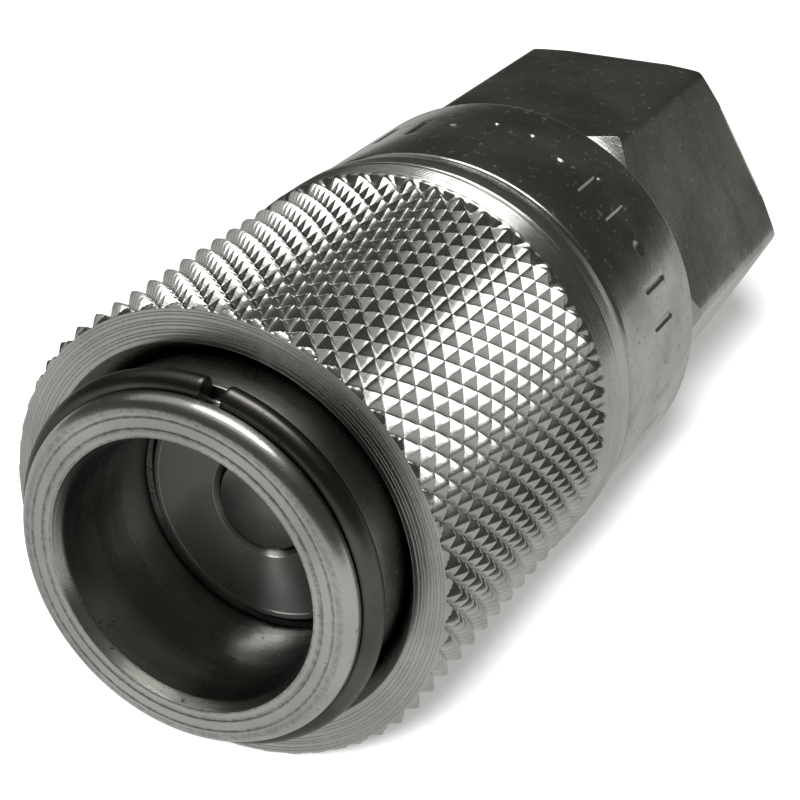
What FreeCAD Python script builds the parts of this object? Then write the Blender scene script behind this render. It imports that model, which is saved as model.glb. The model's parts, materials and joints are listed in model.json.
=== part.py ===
import FreeCAD, Part
import os
import Sketcher
from math import cos, pi, sin
from FreeCAD import Placement, Rotation, Vector

# Quick disconnect coupler, female half, flat-face type with a ball lock.
# Millimetres. The axis is +Y: the plug enters at the mouth (y = 0) and the
# port is at the far end. +Z is up, with one flat of the hex facing up.
# Drawn armed and unplugged: the knurled sleeve is held back by the balls, the
# balls stand out against the closed valve sleeve, and the valve is shut.

os.makedirs("parts", exist_ok=True)
doc = FreeCAD.newDocument("Coupler")

# ---------------------------------------------------------------------------
# Sizes: driving dimensions first, then the stations and radii worked out from
# them. "..._y" is a station along the axis, "..._r" a radius about it.
# ---------------------------------------------------------------------------
SIZES = [
    # driving dimensions
    ("sleeve_od", 29.0, "knurled sleeve, over the knurl tips"),
    ("sleeve_len", 26.6, "knurled sleeve, end to end"),
    ("sleeve_travel", 3.2, "how far the sleeve springs forward to lock"),
    ("valve_travel", 10.0, "how far a plug pushes the valve sleeve back"),
    ("nose_length", 4.7, "nose standing out of the armed sleeve"),
    ("nose_od", 21.4, "nose and tube of the front body"),
    ("bore_dia", 16.1, "bore the plug enters"),
    ("valve_depth", 9.3, "valve face below the mouth"),
    ("ball_dia", 4.0, "locking ball"),
    ("ball_depth", 11.8, "ball circle below the mouth"),
    ("ball_lift", 1.27, "how far each ball moves in to lock"),
    ("ball_count", 8, "balls round the bore"),
    ("run_gap", 0.05, "radial gap of a running fit"),
    ("ball_gap", 0.02, "gap round a ball"),
    ("clip_wire", 1.6, "wire of the snap ring"),
    ("clip_opening", 7, "opening of the snap ring, degrees"),
    ("clip_opening_at", 9, "middle of the opening, degrees from the top"),
    ("collar_od", 28.6, "plain collar of the adapter"),
    ("collar_len", 11.85, "plain collar, end to end"),
    ("collar_gap", 0.15, "gap between armed sleeve and collar"),
    ("hex_flats", 24.0, "hex across flats"),
    ("hex_len", 21.0, "hex, end to end"),
    ("port_dia", 14.95, "port thread minor diameter, G 3/8"),
    ("port_depth", 14.0, "port thread depth from the rear face"),
    # knurled sleeve
    ("sleeve_r", "=sleeve_od / 2", "sleeve outside"),
    ("sleeve_front_y", "=nose_length", "sleeve front face, armed"),
    ("sleeve_back_y", "=nose_length + sleeve_len", "sleeve rear face, armed"),
    ("sleeve_face_r", "=sleeve_r - 0.5", "outer edge of the front face"),
    ("sleeve_bevel_y", "=sleeve_front_y + 0.9", "end of the front bevel"),
    ("band_bevel_y", "=sleeve_back_y - 1.1", "start of the rear bevel"),
    ("band_bevel_r", "=sleeve_r - 0.25", "rear bevel at the rear face"),
    ("nose_r", "=nose_od / 2", "nose and tube outside"),
    ("land_r", "=nose_r + 2 * run_gap", "sleeve bore that slides on the tube"),
    ("mouth_r", "=land_r + 1.2", "outer edge of the mouth cone"),
    ("mouth_end_y", "=sleeve_front_y + 2.1", "inner end of the mouth cone"),
    # balls: armed against the valve sleeve, or locked into the bore
    ("bore_r", "=bore_dia / 2", "plug bore"),
    ("ball_r", "=ball_dia / 2", "locking ball"),
    ("valve_r", "=bore_r - run_gap", "valve sleeve outside"),
    ("armed_r", "=valve_r + ball_r + ball_gap", "ball centre, armed"),
    ("locked_r", "=armed_r - ball_lift", "ball centre, locked"),
    ("ball_hole_r", "=ball_r + 0.03", "hole that guides a ball"),
    ("ball_hole_top_r", "=nose_r + 1", "cutter runs out past the tube"),
    # release pocket in the sleeve: its rear ramp follows the ball inwards
    ("pocket_r", "=armed_r + ball_r + 4 * ball_gap", "pocket bottom"),
    ("pocket_front_y", "=ball_depth - ball_r - 0.6", "front edge of the pocket"),
    ("pocket_floor_y", "=pocket_front_y + pocket_r - land_r", "45 degree front wall"),
    ("ramp_slope", "=ball_lift / sleeve_travel", "ball path seen from the sleeve"),
    ("ramp_cos", "=1 / sqrt(1 + ramp_slope * ramp_slope)", "its cosine"),
    ("ramp_touch_y", "=ball_depth + ball_hole_r * ramp_slope * ramp_cos", "touch point"),
    ("ramp_touch_r", "=armed_r + ball_hole_r * ramp_cos", "touch point"),
    ("ramp_top_y", "=ramp_touch_y - (pocket_r - ramp_touch_r) / ramp_slope", "ramp start"),
    ("ramp_end_y", "=ramp_touch_y + (ramp_touch_r - land_r) / ramp_slope", "ramp end"),
    ("shoulder_y", "=ramp_end_y + 4", "rear of the locking land"),
    ("chamber_r", "=sleeve_r - 1.9", "sleeve spring chamber"),
    # adapter: spigot inside the sleeve, collar, hex and port
    ("collar_y", "=sleeve_back_y + collar_gap", "collar front face"),
    ("spigot_y", "=collar_y - 4.25", "front of the spigot"),
    ("spigot_r", "=chamber_r - 2 * run_gap", "spigot outside"),
    ("tube_seat_r", "=nose_r + run_gap", "spigot bore round the tube"),
    ("collar_r", "=collar_od / 2", "collar outside"),
    ("collar_edge", 0.3, "chamfer on the collar edges"),
    ("collar_lip_r", "=collar_r - collar_edge", "collar faces, outer edge"),
    ("collar_lip_y", "=collar_y + collar_edge", "front collar chamfer"),
    ("hex_y", "=collar_y + collar_len", "collar rear face, start of the hex"),
    ("collar_tail_y", "=hex_y - collar_edge", "rear collar chamfer"),
    ("rear_y", "=hex_y + hex_len", "rear face"),
    ("hex_corner_r", "=hex_flats / sqrt(3)", "hex across corners, half"),
    ("hex_blank_r", "=hex_corner_r + 0.1", "blank the hex is cut from"),
    ("hex_neck_r", "=hex_flats / 2 + 0.1", "neck between collar and hex"),
    ("hex_neck_y", "=hex_y + 0.9", "end of the neck, start of the cone"),
    ("hex_full_y", "=hex_neck_y + (hex_blank_r - hex_neck_r) * 1.5", "end of the cone"),
    ("hex_face_r", "=hex_corner_r - 1.3", "rear face, outer edge"),
    ("hex_bevel_y", "=rear_y - (hex_blank_r - hex_face_r) * 0.577", "rear chamfer"),
    ("port_r", "=port_dia / 2", "port wall"),
    ("port_lead", 0.9, "countersink at the port"),
    ("port_mouth_r", "=port_r + port_lead", "countersink at the rear face"),
    ("port_mouth_y", "=rear_y - port_lead", "start of the port wall"),
    ("port_floor_y", "=rear_y - port_depth", "end of the port wall"),
    # front body: joint with the adapter
    ("thread_y", "=spigot_y + 2", "start of the joint thread"),
    ("thread_r", "=nose_r - 0.2", "joint thread in the adapter"),
    ("body_thread_r", "=thread_r - run_gap", "joint thread on the body"),
    ("thread_end_y", "=thread_y + 6", "end of the joint thread"),
    ("tail_r", "=nose_r - 0.7", "plain tail behind the thread"),
    ("tail_seat_r", "=tail_r + run_gap", "adapter bore round the tail"),
    ("tail_y", "=thread_end_y + 4", "rear end of the front body"),
    ("tail_edge", 0.3, "chamfers on the tail and the thread"),
    ("tail_edge_r", "=tail_r - tail_edge", "tail end, outer edge"),
    ("tail_edge_y", "=tail_y - tail_edge", "start of the tail chamfer"),
    ("joint_groove_y", "=thread_end_y + 0.9", "joint seal groove, front"),
    ("joint_groove_end_y", "=joint_groove_y + 2.6", "joint seal groove, rear"),
    ("joint_groove_r", "=tail_seat_r + 1.5", "joint seal groove, bottom"),
    # front body: nose, bore and chamber
    ("nose_y", 0, "nose face"),
    ("nose_round", 0.9, "rounding of the nose"),
    ("mouth_lead", 0.25, "chamfer at the bore mouth"),
    ("bore_mouth_r", "=bore_r + mouth_lead", "bore mouth on the nose face"),
    ("clip_play", 0.05, "room round the snap ring wire"),
    ("clip_y", "=nose_round + 0.3 + clip_wire / 2 + clip_play", "snap ring plane"),
    ("clip_wire_r", "=clip_wire / 2", "snap ring wire"),
    ("clip_r", "=nose_r + clip_play", "snap ring centre line"),
    ("clip_groove_y", "=clip_y - clip_wire_r - clip_play", "snap ring groove, front"),
    ("clip_groove_end_y", "=clip_y + clip_wire_r + clip_play", "groove, rear"),
    ("clip_groove_r", "=clip_r - clip_wire_r - clip_play", "groove, bottom"),
    ("relief_y", "=valve_depth - 0.1", "relief groove at the valve face"),
    ("relief_end_y", "=relief_y + 0.6", "relief groove, rear"),
    ("relief_r", "=bore_r + 0.2", "relief groove, bottom"),
    ("seal_groove_y", "=ball_depth + 5.2", "plug seal groove, front"),
    ("seal_groove_end_y", "=seal_groove_y + 2.9", "plug seal groove, rear"),
    ("seal_groove_r", "=bore_r + 1.55", "plug seal groove, bottom"),
    ("step_y", "=valve_depth + 12.2", "step that stops the valve sleeve"),
    ("step_r", "=bore_r + 0.95", "chamber behind the step"),
    # valve sleeve: its front cone follows the balls inwards
    ("cone_slope", "=ball_lift / valve_travel", "ball path seen from the valve"),
    ("cone_cos", "=1 / sqrt(1 + cone_slope * cone_slope)", "its cosine"),
    ("cone_touch_y", "=ball_depth + ball_r * cone_slope * cone_cos", "touch point"),
    ("cone_touch_r", "=armed_r - ball_gap - ball_r * cone_cos", "touch point"),
    ("cone_end_y", "=cone_touch_y - (cone_touch_r - valve_r) / cone_slope", "cone end"),
    ("valve_edge", 0.35, "chamfer round the valve face"),
    ("valve_edge_y", "=valve_depth + valve_edge", "chamfer end, cone start"),
    ("valve_edge_r", "=valve_r - (cone_end_y - valve_edge_y) * cone_slope", "cone start"),
    ("valve_face_r", "=valve_edge_r - valve_edge", "valve face, outer edge"),
    ("flange_y", "=step_y + run_gap", "valve sleeve flange, front"),
    ("flange_end_y", "=flange_y + 2.2", "valve sleeve flange, rear"),
    ("flange_r", "=step_r - run_gap", "valve sleeve flange"),
    ("valve_back_y", "=flange_end_y + 0.2", "valve sleeve, rear end"),
    ("valve_back_r", "=flange_r - 0.2", "flange chamfer"),
    ("pocket_bore_r", "=valve_r - 1.1", "spring pocket in the valve sleeve"),
    ("web_y", "=valve_depth + 6.3", "floor of the spring pocket"),
    # valve stem and its holder
    ("head_r", 3.03, "stem head in the valve face"),
    ("lip_r", "=head_r + 0.1", "valve sleeve bore round the head"),
    ("lip_edge_r", "=lip_r + 0.36", "bevel round the head, on the valve face"),
    ("lip_edge_y", "=valve_depth + 0.34", "bevel, inner end"),
    ("head_edge_r", "=head_r - 0.15", "stem face, outer edge"),
    ("head_edge_y", "=valve_depth + 0.15", "stem face chamfer"),
    ("head_groove_y", "=valve_depth + 2.1", "stem seal groove, front"),
    ("head_groove_end_y", "=head_groove_y + 1.4", "stem seal groove, rear"),
    ("head_groove_r", "=head_r - 1", "stem seal groove, bottom"),
    ("head_end_y", "=head_groove_end_y + 1.2", "rear of the stem head"),
    ("stem_r", 1.6, "stem"),
    ("neck_y", "=head_end_y + head_r - stem_r", "45 degree neck"),
    ("stop_r", 2.9, "shoulder that seats on the holder"),
    ("stop_y", "=tail_y - 0.9", "front of the shoulder"),
    ("shank_r", 1.46, "threaded shank, M3"),
    ("holder_end_y", "=tail_y + 4", "rear of the stem holder"),
    ("holder_hole_r", "=shank_r + run_gap", "holder bore"),
    ("flow_hole_r", 1.15, "flow hole in the holder"),
    ("flow_circle_r", 4.15, "circle of flow holes"),
    ("flow_hole_count", 8, "flow holes"),
    ("passage_r", 7.0, "passage between holder and port"),
    ("washer_end_y", "=holder_end_y + 0.7", "rear of the washer"),
    ("washer_r", 2.95, "washer outside"),
    ("nut_end_y", "=washer_end_y + 2.4", "rear of the nut"),
    ("nut_flats", 5.5, "nut across flats"),
    ("nut_corner_r", "=nut_flats / sqrt(3)", "nut across corners, half"),
    ("nut_face_r", "=nut_flats / 2 - 0.1", "nut faces, outer edge"),
    ("nut_blank_r", "=nut_corner_r + 0.1", "blank the nut is cut from"),
    ("nut_bevel", "=(nut_blank_r - nut_face_r) * 0.577", "30 degree bevel"),
    ("nut_front_y", "=washer_end_y + nut_bevel", "front bevel of the nut"),
    ("nut_back_y", "=nut_end_y - nut_bevel", "rear bevel of the nut"),
    ("shank_end_y", "=nut_end_y + 0.9", "end of the shank"),
    ("shank_edge_y", "=shank_end_y - 0.4", "end chamfer of the shank"),
    ("shank_edge_r", "=shank_r - 0.4", "end chamfer of the shank"),
    # seals, springs and the thrust ring
    ("seal_wire_r", 0.73, "plug and joint seal section"),
    ("plug_seal_y", "=seal_groove_y + 0.1 + seal_wire_r", "plug seal"),
    ("plug_seal_r", "=valve_r + 0.02 + seal_wire_r", "plug seal centre line"),
    ("backup_wide", 0.9, "backup ring along the axis"),
    ("plug_backup_y", "=seal_groove_end_y - 0.1 - backup_wide", "plug backup, front"),
    ("plug_backup_end_y", "=seal_groove_end_y - 0.1", "plug backup, rear"),
    ("plug_backup_r", "=valve_r + 0.03", "plug backup, bore"),
    ("plug_backup_out_r", "=seal_groove_r - 0.05", "plug backup, outside"),
    ("joint_seal_y", "=joint_groove_y + 0.1 + seal_wire_r", "joint seal"),
    ("joint_seal_r", "=tail_r + 0.02 + seal_wire_r", "joint seal centre line"),
    ("joint_backup_y", "=joint_groove_end_y - 0.1 - backup_wide", "joint backup"),
    ("joint_backup_end_y", "=joint_groove_end_y - 0.1", "joint backup, rear"),
    ("joint_backup_r", "=tail_r + 0.03", "joint backup, bore"),
    ("joint_backup_out_r", "=joint_groove_r - 0.05", "joint backup, outside"),
    ("stem_seal_wire_r", 0.5, "stem seal section"),
    ("stem_seal_y", "=(head_groove_y + head_groove_end_y) / 2", "stem seal"),
    ("stem_seal_r", "=lip_r - 0.02 - stem_seal_wire_r", "stem seal centre line"),
    ("thrust_y", "=shoulder_y + 0.02", "thrust ring, front"),
    ("thrust_end_y", "=thrust_y + 1", "thrust ring, rear"),
    ("thrust_r", "=nose_r + 0.15", "thrust ring, bore"),
    ("thrust_out_r", "=chamber_r - 0.15", "thrust ring, outside"),
    ("sleeve_spring_wire_r", 0.55, "sleeve spring wire"),
    ("sleeve_spring_r", "=(nose_r + chamber_r) / 2", "sleeve spring, mean"),
    ("sleeve_spring_turns", 4, "sleeve spring turns"),
    ("valve_spring_wire_r", 0.6, "valve spring wire"),
    ("valve_spring_r", "=pocket_bore_r - 0.75", "valve spring, mean"),
    ("valve_spring_turns", 8, "valve spring turns"),
]
CUTTER_ROOM = 2  # how far a cutter stands out past the metal it removes
DEAD_TURNS = 0.75  # turns lying wire against wire at each end of a spring
WIRE_ROOM = 1.04  # pitch of those turns, in wire diameters
SPRING_EASE = 0.12  # how gently the pitch changes next to them
SPRING_STEPS = 24  # path points in one turn

sheet = doc.addObject("Spreadsheet::Sheet", "Dims")
for row, (alias, value, note) in enumerate(SIZES, start=1):
    sheet.set("A%d" % row, note)
    sheet.set("B%d" % row, str(value))
    sheet.setAlias("B%d" % row, alias)
doc.recompute()


def size(alias):
    """The value the sheet holds under this name."""
    return float(getattr(sheet, alias))


# ---------------------------------------------------------------------------
# Building blocks
# ---------------------------------------------------------------------------
nodes = []


def new_body(label):
    body = doc.addObject("PartDesign::Body", "body_" + label)
    body.Label = label
    nodes.append(body)
    return body


def origin_plane(body, role):
    return [f for f in body.Origin.OriginFeatures if f.Role == role][0]


def new_sketch(body, name, role="YZ_Plane"):
    """A sketch on one of the body's own planes; on YZ its axes are y and radius."""
    sketch = body.newObject("Sketcher::SketchObject", name + "_" + body.Label)
    sketch.AttachmentSupport = [(origin_plane(body, role), "")]
    sketch.MapMode = "FlatFace"
    return sketch


def tie(sketch, geometry, point, across, up):
    """Hold a point of the geometry at named sizes from the sketch origin."""
    for kind, alias, axis in (("DistanceX", across, -2), ("DistanceY", up, -1)):
        if alias is None:
            sketch.addConstraint(Sketcher.Constraint("PointOnObject", geometry, point, axis))
        else:
            index = sketch.addConstraint(
                Sketcher.Constraint(kind, -1, 1, geometry, point, size(alias))
            )
            sketch.setExpression("Constraints[%d]" % index, "Dims." + alias)


def outline(body, name, corners):
    """A closed outline through corners named (station, radius); None means zero."""
    sketch = new_sketch(body, name)
    spots = [
        Vector(size(y) if y else 0, size(r) if r else 0, 0) for y, r in corners
    ]
    count = len(corners)
    for i in range(count):
        sketch.addGeometry(Part.LineSegment(spots[i], spots[(i + 1) % count]))
    for i in range(count):
        sketch.addConstraint(
            Sketcher.Constraint("Coincident", i, 2, (i + 1) % count, 1)
        )
    for i, (y, r) in enumerate(corners):
        tie(sketch, i, 1, y, r)
    return sketch


def turn(body, sketch, name="turned"):
    """Add the outline turned once round the axis of the part."""
    feature = body.newObject("PartDesign::Revolution", name + "_" + body.Label)
    feature.Profile = sketch
    feature.ReferenceAxis = (sketch, ["H_Axis"])
    feature.Angle = 360
    doc.recompute()
    return feature


def turned_body(label, corners):
    body = new_body(label)
    turn(body, outline(body, "outline", corners))
    return body


def add_circle(sketch, radius, expression, construction=False):
    """A circle whose radius follows an expression; returns its geometry number."""
    circle = Part.Circle(Vector(0, 0, 0), Vector(0, 0, 1), radius)
    ring = sketch.addGeometry(circle, construction)
    index = sketch.addConstraint(Sketcher.Constraint("Radius", ring, radius))
    sketch.setExpression("Constraints[%d]" % index, expression)
    return ring


def ring_body(label, station, radius, section):
    """A ring of round section; returns the body and the feature that turns it."""
    body = new_body(label)
    sketch = new_sketch(body, "section")
    ring = add_circle(sketch, size(section), "Dims." + section)
    tie(sketch, ring, 3, station, radius)
    return body, turn(body, sketch)


def round_edges(body, base, alias, spots):
    """Fillet the circular edges that pass through the given (station, radius) spots."""
    wanted = [(size(y), size(r)) for y, r in spots]
    names = []
    for number, edge in enumerate(base.Shape.Edges, start=1):
        curve = edge.Curve
        if not isinstance(curve, Part.Circle):
            continue
        for y, r in wanted:
            if abs(curve.Center.y - y) < 0.01 and abs(curve.Radius - r) < 0.01:
                names.append("Edge%d" % number)
    fillet = body.newObject("PartDesign::Fillet", "round_" + body.Label)
    fillet.Base = (base, names)
    fillet.setExpression("Radius", "Dims." + alias)
    doc.recompute()
    return fillet


def repeat_round(body, feature, count_alias):
    """Repeat a feature evenly round the axis of the part."""
    pattern = body.newObject("PartDesign::PolarPattern", "around_" + feature.Name)
    pattern.Originals = [feature]
    axis = [f for f in body.Origin.OriginFeatures if f.Role == "Y_Axis"][0]
    pattern.Axis = (axis, [""])
    pattern.Angle = 360
    pattern.setExpression("Occurrences", "Dims." + count_alias)
    body.Tip = pattern
    doc.recompute()
    return pattern


def hexagon(sketch, corner_alias):
    """A hexagon about the sketch origin with its flats facing up and down."""
    radius = size(corner_alias)
    corners = [
        Vector(radius * cos(pi / 3 * i), radius * sin(pi / 3 * i), 0) for i in range(6)
    ]
    ring = add_circle(sketch, radius, "Dims." + corner_alias, True)
    sketch.addConstraint(Sketcher.Constraint("Coincident", ring, 3, -1, 1))
    sides = [
        sketch.addGeometry(Part.LineSegment(corners[i], corners[(i + 1) % 6]))
        for i in range(6)
    ]
    for i in range(6):
        following = sides[(i + 1) % 6]
        sketch.addConstraint(Sketcher.Constraint("Coincident", sides[i], 2, following, 1))
        sketch.addConstraint(Sketcher.Constraint("PointOnObject", sides[i], 1, ring))
    for i in range(1, 6):
        sketch.addConstraint(Sketcher.Constraint("Equal", sides[0], sides[i]))
    sketch.addConstraint(Sketcher.Constraint("PointOnObject", sides[0], 1, -1))


def hex_cut(body, corner_alias, blank_alias, start_alias, end_alias):
    """Mill a hex on a round blank, from the start station out past its end."""
    before = body.Shape.Volume
    sketch = new_sketch(body, "hexagon", "XZ_Plane")
    # the XZ plane looks along -Y, so a station lies at minus its distance
    sketch.setExpression("AttachmentOffset.Base.z", "-Dims." + start_alias)
    hexagon(sketch, corner_alias)
    rim_radius = size(blank_alias) + CUTTER_ROOM
    rim = add_circle(sketch, rim_radius, "Dims.%s + %g" % (blank_alias, CUTTER_ROOM))
    sketch.addConstraint(Sketcher.Constraint("Coincident", rim, 3, -1, 1))
    pocket = body.newObject("PartDesign::Pocket", "hex_" + body.Label)
    pocket.Profile = sketch
    pocket.setExpression(
        "Length", "Dims.%s - Dims.%s + %g" % (end_alias, start_alias, CUTTER_ROOM)
    )
    doc.recompute()
    if body.Shape.Volume > before - 1:
        pocket.Reversed = True
        doc.recompute()
    if body.Shape.Volume > before - 1:
        raise RuntimeError("the hex cut on %s removed nothing" % body.Label)
    return pocket


def spring(label, radius, wire, turns, start, end):
    """A round-wire spring standing between two stations, ends ground flat.

    A dead turn at each end lies wire against wire, so the helix is steeper
    between them. Neither a sketch nor a primitive makes such a path.
    """
    mean, thick, live = size(radius), 2 * size(wire), size(turns)
    low, high = size(start), size(end)
    total = live + 2 * DEAD_TURNS
    dead_pitch = thick * WIRE_ROOM
    dead_rise = dead_pitch * DEAD_TURNS
    live_rise = (high - low) - 2 * dead_rise
    points = []
    for step in range(int(total * SPRING_STEPS) + 1):
        turned = step / SPRING_STEPS
        if turned <= DEAD_TURNS:
            rise = dead_pitch * turned
        elif turned >= total - DEAD_TURNS:
            rise = high - low - dead_pitch * (total - turned)
        else:
            share = (turned - DEAD_TURNS) / live
            ease = share - SPRING_EASE * sin(2 * pi * share) / (2 * pi)
            rise = dead_rise + live_rise * ease
        angle = 2 * pi * turned
        points.append(Vector(mean * cos(angle), low + rise, mean * sin(angle)))
    path = Part.BSplineCurve()
    path.interpolate(points)
    heading = path.tangent(path.FirstParameter)[0]
    section = Part.Wire(Part.makeCircle(thick / 2, points[0], heading))
    coil = Part.Wire(path.toShape()).makePipeShell([section], True, True)
    slab = Part.makeCylinder(
        mean + thick, high - low, Vector(0, low, 0), Vector(0, 1, 0)
    )
    feature = doc.addObject("Part::Feature", "spring_" + label)
    feature.Shape = coil.common(slab).Solids[0]
    feature.Label = label
    nodes.append(feature)
    return feature


# ---------------------------------------------------------------------------
# Front body: nose, plug bore, ball holes, chamber and joint thread
# ---------------------------------------------------------------------------
front_body = new_body("front_body")
front_turned = turn(front_body, outline(front_body, "outline", [
    (None, "bore_mouth_r"),
    (None, "nose_r"),
    ("clip_groove_y", "nose_r"),
    ("clip_groove_y", "clip_groove_r"),
    ("clip_groove_end_y", "clip_groove_r"),
    ("clip_groove_end_y", "nose_r"),
    ("thread_y", "nose_r"),
    ("thread_y", "body_thread_r"),
    ("thread_end_y", "body_thread_r"),
    ("thread_end_y", "tail_r"),
    ("tail_edge_y", "tail_r"),
    ("tail_y", "tail_edge_r"),
    ("tail_y", "step_r"),
    ("step_y", "step_r"),
    ("step_y", "bore_r"),
    ("seal_groove_end_y", "bore_r"),
    ("seal_groove_end_y", "seal_groove_r"),
    ("seal_groove_y", "seal_groove_r"),
    ("seal_groove_y", "bore_r"),
    ("relief_end_y", "bore_r"),
    ("relief_end_y", "relief_r"),
    ("relief_y", "relief_r"),
    ("relief_y", "bore_r"),
    ("mouth_lead", "bore_r"),
]))
front_round = round_edges(front_body, front_turned, "nose_round", [("nose_y", "nose_r")])

# each ball hole ends in a round seat that keeps the ball from falling into the bore
hole_sketch = new_sketch(front_body, "ball_hole")
middle, low, top = size("ball_depth"), size("locked_r"), size("ball_hole_top_r")
wide = size("ball_hole_r")
hole_sketch.addGeometry(
    Part.ArcOfCircle(
        Part.Circle(Vector(middle, low, 0), Vector(0, 0, 1), wide), -pi / 2, 0
    )
)
hole_sketch.addGeometry(
    Part.LineSegment(Vector(middle + wide, low, 0), Vector(middle + wide, top, 0))
)
hole_sketch.addGeometry(
    Part.LineSegment(Vector(middle + wide, top, 0), Vector(middle, top, 0))
)
hole_sketch.addGeometry(
    Part.LineSegment(Vector(middle, top, 0), Vector(middle, low - wide, 0))
)
for joint in ((1, 2, 2, 1), (2, 2, 3, 1), (3, 2, 0, 1)):
    hole_sketch.addConstraint(Sketcher.Constraint("Coincident", *joint))
hole_sketch.addConstraint(Sketcher.Constraint("Vertical", 1))
hole_sketch.addConstraint(Sketcher.Constraint("Horizontal", 2))
hole_sketch.addConstraint(Sketcher.Constraint("Vertical", 3))
hole_sketch.addConstraint(Sketcher.Constraint("Tangent", 0, 2, 1, 1))
radius_rule = hole_sketch.addConstraint(Sketcher.Constraint("Radius", 0, wide))
hole_sketch.setExpression("Constraints[%d]" % radius_rule, "Dims.ball_hole_r")
tie(hole_sketch, 0, 3, "ball_depth", "locked_r")
tie(hole_sketch, 3, 1, "ball_depth", "ball_hole_top_r")
hole = front_body.newObject("PartDesign::Groove", "ball_hole")
hole.Profile = hole_sketch
hole.ReferenceAxis = (hole_sketch, ["Edge4"])
hole.Angle = 360
doc.recompute()
repeat_round(front_body, hole, "ball_count")

# ---------------------------------------------------------------------------
# Adapter: spigot, collar, hex and female port
# ---------------------------------------------------------------------------
adapter = turned_body("rear_adapter", [
    ("spigot_y", "tube_seat_r"),
    ("spigot_y", "spigot_r"),
    ("collar_y", "spigot_r"),
    ("collar_y", "collar_lip_r"),
    ("collar_lip_y", "collar_r"),
    ("collar_tail_y", "collar_r"),
    ("hex_y", "collar_lip_r"),
    ("hex_y", "hex_neck_r"),
    ("hex_neck_y", "hex_neck_r"),
    ("hex_full_y", "hex_blank_r"),
    ("hex_bevel_y", "hex_blank_r"),
    ("rear_y", "hex_face_r"),
    ("rear_y", "port_mouth_r"),
    ("port_mouth_y", "port_r"),
    ("port_floor_y", "port_r"),
    ("port_floor_y", "passage_r"),
    ("holder_end_y", "passage_r"),
    ("holder_end_y", "tail_seat_r"),
    ("joint_groove_end_y", "tail_seat_r"),
    ("joint_groove_end_y", "joint_groove_r"),
    ("joint_groove_y", "joint_groove_r"),
    ("joint_groove_y", "tail_seat_r"),
    ("thread_end_y", "tail_seat_r"),
    ("thread_end_y", "thread_r"),
    ("thread_y", "thread_r"),
    ("thread_y", "tube_seat_r"),
])
hex_cut(adapter, "hex_corner_r", "hex_blank_r", "hex_y", "rear_y")

# ---------------------------------------------------------------------------
# Locking sleeve: mouth cone, guide land, release pocket, ramp, locking land
# ---------------------------------------------------------------------------
turned_body("locking_sleeve", [
    ("sleeve_front_y", "mouth_r"),
    ("sleeve_front_y", "sleeve_face_r"),
    ("sleeve_bevel_y", "sleeve_r"),
    ("band_bevel_y", "sleeve_r"),
    ("sleeve_back_y", "band_bevel_r"),
    ("sleeve_back_y", "chamber_r"),
    ("shoulder_y", "chamber_r"),
    ("shoulder_y", "land_r"),
    ("ramp_end_y", "land_r"),
    ("ramp_top_y", "pocket_r"),
    ("pocket_floor_y", "pocket_r"),
    ("pocket_front_y", "land_r"),
    ("mouth_end_y", "land_r"),
])
turned_body("sleeve_thrust_ring", [
    ("thrust_y", "thrust_r"),
    ("thrust_y", "thrust_out_r"),
    ("thrust_end_y", "thrust_out_r"),
    ("thrust_end_y", "thrust_r"),
])

# ---------------------------------------------------------------------------
# Valve sleeve, stem, holder, washer and nut
# ---------------------------------------------------------------------------
turned_body("valve_sleeve", [
    ("valve_depth", "lip_edge_r"),
    ("valve_depth", "valve_face_r"),
    ("valve_edge_y", "valve_edge_r"),
    ("cone_end_y", "valve_r"),
    ("flange_y", "valve_r"),
    ("flange_y", "flange_r"),
    ("flange_end_y", "flange_r"),
    ("valve_back_y", "valve_back_r"),
    ("valve_back_y", "pocket_bore_r"),
    ("web_y", "pocket_bore_r"),
    ("web_y", "lip_r"),
    ("lip_edge_y", "lip_r"),
])
turned_body("valve_stem", [
    ("valve_depth", None),
    ("valve_depth", "head_edge_r"),
    ("head_edge_y", "head_r"),
    ("head_groove_y", "head_r"),
    ("head_groove_y", "head_groove_r"),
    ("head_groove_end_y", "head_groove_r"),
    ("head_groove_end_y", "head_r"),
    ("head_end_y", "head_r"),
    ("neck_y", "stem_r"),
    ("stop_y", "stem_r"),
    ("stop_y", "stop_r"),
    ("tail_y", "stop_r"),
    ("tail_y", "shank_r"),
    ("shank_edge_y", "shank_r"),
    ("shank_end_y", "shank_edge_r"),
    ("shank_end_y", None),
])
holder = turned_body("stem_holder", [
    ("tail_y", "holder_hole_r"),
    ("tail_y", "tail_r"),
    ("holder_end_y", "tail_r"),
    ("holder_end_y", "holder_hole_r"),
])
flow_sketch = new_sketch(holder, "flow_hole", "XZ_Plane")
flow_sketch.setExpression("AttachmentOffset.Base.z", "-Dims.tail_y")
flow_ring = add_circle(flow_sketch, size("flow_hole_r"), "Dims.flow_hole_r")
tie(flow_sketch, flow_ring, 3, None, "flow_circle_r")
flow_hole = holder.newObject("PartDesign::Pocket", "flow_hole")
flow_hole.Profile = flow_sketch
flow_hole.setExpression("Length", "Dims.holder_end_y - Dims.tail_y + %g" % CUTTER_ROOM)
doc.recompute()
repeat_round(holder, flow_hole, "flow_hole_count")

turned_body("stem_washer", [
    ("holder_end_y", "holder_hole_r"),
    ("holder_end_y", "washer_r"),
    ("washer_end_y", "washer_r"),
    ("washer_end_y", "holder_hole_r"),
])
nut = turned_body("stem_nut", [
    ("washer_end_y", "holder_hole_r"),
    ("washer_end_y", "nut_face_r"),
    ("nut_front_y", "nut_blank_r"),
    ("nut_back_y", "nut_blank_r"),
    ("nut_end_y", "nut_face_r"),
    ("nut_end_y", "holder_hole_r"),
])
hex_cut(nut, "nut_corner_r", "nut_blank_r", "washer_end_y", "nut_end_y")

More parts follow.
